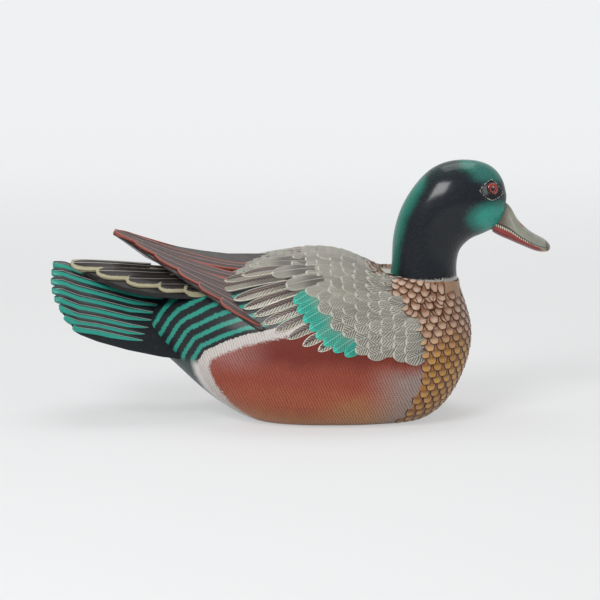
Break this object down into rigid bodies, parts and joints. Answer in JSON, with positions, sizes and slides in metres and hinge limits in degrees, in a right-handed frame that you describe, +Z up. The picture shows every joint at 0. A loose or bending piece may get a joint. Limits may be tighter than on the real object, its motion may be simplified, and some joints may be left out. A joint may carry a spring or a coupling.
{
  "type": "floating duck decoy",
  "caption": "Hollow carved and painted wooden drake decoy with raised wing and tail feathers, a head that turns on its neck stud, inlet ballast and a folding anchor-line bail.",
  "frame": {"origin": "middle of the decoy's length and width, on the flat bottom that it stands on", "axes": "+X from tail to bill, +Y to the duck's left, +Z up"},
  "size_m": [0.401, 0.1632, 0.206],
  "materials": {
    "painted_flank": "satin varnish over chestnut paint",
    "painted_breast": "satin varnish over ochre scallops",
    "hardwood": "bare",
    "painted_wing": "satin varnish over grey paint",
    "painted_primaries": "satin varnish over dark brown paint",
    "painted_coverts": "satin varnish over dark grey paint",
    "painted_tail": "satin varnish over teal and black paint",
    "painted_head": "gloss varnish over black and teal paint",
    "painted_bill": "gloss varnish over olive grey paint",
    "painted_jaw": "gloss varnish over dark red paint",
    "eye_glass": "glass over a red iris",
    "zinc_steel": "zinc plated",
    "brass": "dull",
    "fibre": "vulcanised fibre",
    "lead": "dull grey cast"
  },
  "bodies": {
    "body": {"body_lower": "painted_flank", "body_upper": "painted_breast", "seam_dowels": "hardwood", "wing_left": "painted_wing", "wing_right": "painted_wing", "primaries_left": "painted_primaries", "primaries_right": "painted_primaries", "rump_coverts": "painted_coverts", "tail_fan": "painted_tail", "neck_bush": "brass", "fibre_washer": "fibre", "ballast_weight": "lead", "ballast_screws": "brass", "anchor_clip": "brass", "clip_screws": "brass"},
    "head": {"head": "painted_head", "bill_upper": "painted_bill", "bill_lower": "painted_jaw", "eye_left": "eye_glass", "eye_right": "eye_glass", "neck_stud": "zinc_steel", "clamp_washer": "zinc_steel", "spring_washer": "zinc_steel", "lock_nut": "zinc_steel"},
    "bail": {"anchor_bail": "brass"}
  },
  "joints": [
    {"name": "neck_swivel", "type": "hinge", "parent": "body", "child": "head", "pos_m": [0.099, 0, 0.11], "axis": [0, 0, 1], "range_deg": [-120, 120]},
    {"name": "anchor_bail_fold", "type": "hinge", "parent": "body", "child": "bail", "pos_m": [0.076, 0, 0.0033], "axis": [0, -1, 0], "range_deg": [0, 110]}
  ]
}
